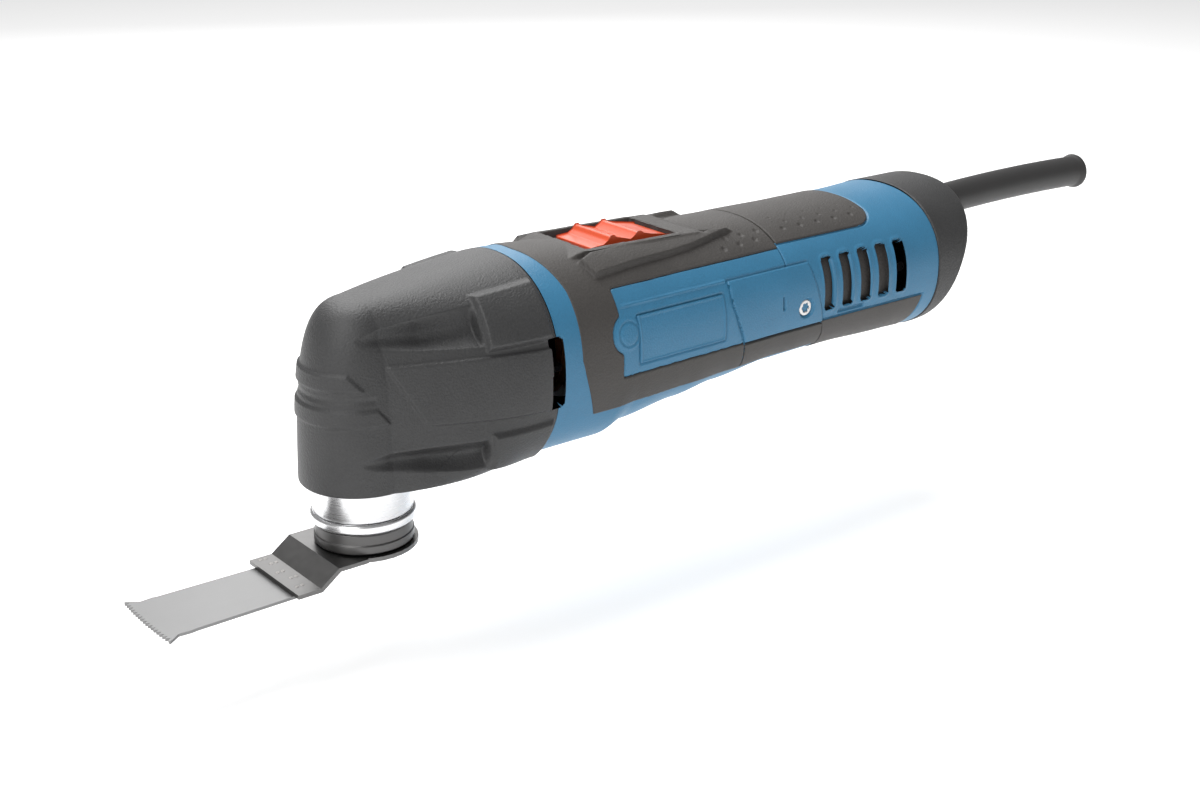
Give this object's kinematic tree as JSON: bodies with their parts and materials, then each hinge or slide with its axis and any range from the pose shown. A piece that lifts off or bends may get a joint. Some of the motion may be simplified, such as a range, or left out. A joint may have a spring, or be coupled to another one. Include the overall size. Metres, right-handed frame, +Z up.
{
  "type": "oscillating multi tool",
  "caption": "Corded hand-held oscillating tool: motor body with soft grip, offset gear head, clamped plunge saw blade, slide switch and speed dial.",
  "frame": {"origin": "on the spindle axis, at the floor of the clamp screw's hex socket", "axes": "+X back along the motor body (the blade points to -X), +Z up along the spindle, +Y to the right hand of a user who looks along the blade, so the nodes named left are at -Y"},
  "size_m": [0.4223, 0.0678, 0.0926],
  "materials": {
    "blue_plastic": "fine moulded grain",
    "black_plastic": "fine moulded grain",
    "grip_rubber": "soft moulded grain",
    "red_plastic": "satin",
    "dark_steel": "dark blackened",
    "bright_steel": "turned",
    "blade_steel": "ground",
    "cast_alloy": "as cast",
    "copper": "enamelled winding wire",
    "brass": "drawn",
    "carbon": "pressed carbon",
    "lamination": "stacked sheet",
    "felt": "felt"
  },
  "bodies": {
    "housing": {"motor_housing": "blue_plastic", "rear_housing": "blue_plastic", "brush_cover_left": "blue_plastic", "brush_cover_right": "blue_plastic", "rating_plate_left": "blue_plastic", "rating_plate_right": "blue_plastic", "switch_bed": "blue_plastic", "head_cover": "black_plastic", "end_cap": "black_plastic", "main_switch": "black_plastic", "speed_module": "black_plastic", "bearing_bridge": "black_plastic", "grip_overmould": "grip_rubber", "rear_top_pad": "grip_rubber", "rear_lower_pad_left": "grip_rubber", "rear_lower_pad_right": "grip_rubber", "cable_sleeve": "grip_rubber", "brush_cover_band_left": "grip_rubber", "brush_cover_band_right": "grip_rubber", "bearing_sleeve": "grip_rubber", "brush_cover_screw_left": "bright_steel", "brush_cover_screw_right": "bright_steel", "dial_axle": "bright_steel", "housing_screw_1": "bright_steel", "housing_screw_2": "bright_steel", "housing_screw_3": "bright_steel", "housing_screw_4": "bright_steel", "neck_ring": "bright_steel", "spindle_bearing_lower": "bright_steel", "spindle_bearing_upper": "bright_steel", "armature_bearing_front": "bright_steel", "armature_bearing_rear": "bright_steel", "brush_spring_left": "bright_steel", "brush_spring_right": "bright_steel", "gearbox_housing": "cast_alloy", "field_coil_front": "copper", "field_coil_rear": "copper", "brush_holder_left": "brass", "brush_holder_right": "brass", "stator_core": "lamination", "felt_seal": "felt"},
    "oscillator": {"spindle": "bright_steel", "rocker_fork": "bright_steel", "retaining_ring": "dark_steel", "tool_holder": "dark_steel"},
    "blade": {"blade_carrier": "dark_steel", "saw_blade": "blade_steel"},
    "clamp": {"clamp_screw": "dark_steel"},
    "armature": {"armature_shaft": "bright_steel", "eccentric_bearing": "bright_steel", "armature_core": "lamination", "armature_windings": "copper", "commutator": "copper", "fan": "black_plastic"},
    "slider": {"switch_slider": "red_plastic", "slide_rod": "black_plastic"},
    "dial": {"speed_dial": "black_plastic"},
    "brush_left": {"carbon_brush_left": "carbon"},
    "brush_right": {"carbon_brush_right": "carbon"}
  },
  "joints": [
    {"name": "spindle_oscillation", "type": "hinge", "parent": "housing", "child": "oscillator", "pos_m": [0, 0, 0], "axis": [0, 0, 1], "range_deg": [-1.4, 1.4]},
    {"name": "clamp_screw_out", "type": "slide", "parent": "oscillator", "child": "clamp", "axis": [0, 0, -1], "range_m": [0, 0.03]},
    {"name": "blade_off", "type": "slide", "parent": "oscillator", "child": "blade", "axis": [0, 0, -1], "range_m": [0, 0.018]},
    {"name": "armature_spin", "type": "hinge", "parent": "housing", "child": "armature", "pos_m": [0.1, 0, 0.0545], "axis": [1, 0, 0], "continuous": true},
    {"name": "switch_slide", "type": "slide", "parent": "housing", "child": "slider", "axis": [-1, 0, 0], "range_m": [0, 0.0046]},
    {"name": "speed_dial_turn", "type": "hinge", "parent": "housing", "child": "dial", "pos_m": [0.2358, 0, 0.0493], "axis": [0, 1, 0], "range_deg": [0, 290]},
    {"name": "brush_left_slide", "type": "slide", "parent": "housing", "child": "brush_left", "axis": [0, -1, 0], "range_m": [0, 0.004], "stiffness_N_per_m": 150, "springref_m": -0.02, "deforming": ["brush_spring_left"]},
    {"name": "brush_right_slide", "type": "slide", "parent": "housing", "child": "brush_right", "axis": [0, 1, 0], "range_m": [0, 0.004], "stiffness_N_per_m": 150, "springref_m": -0.02, "deforming": ["brush_spring_right"]}
  ],
  "couplings": [
    {"joint": "blade_off", "follows": "clamp_screw_out", "ratio": 0.6}
  ]
}
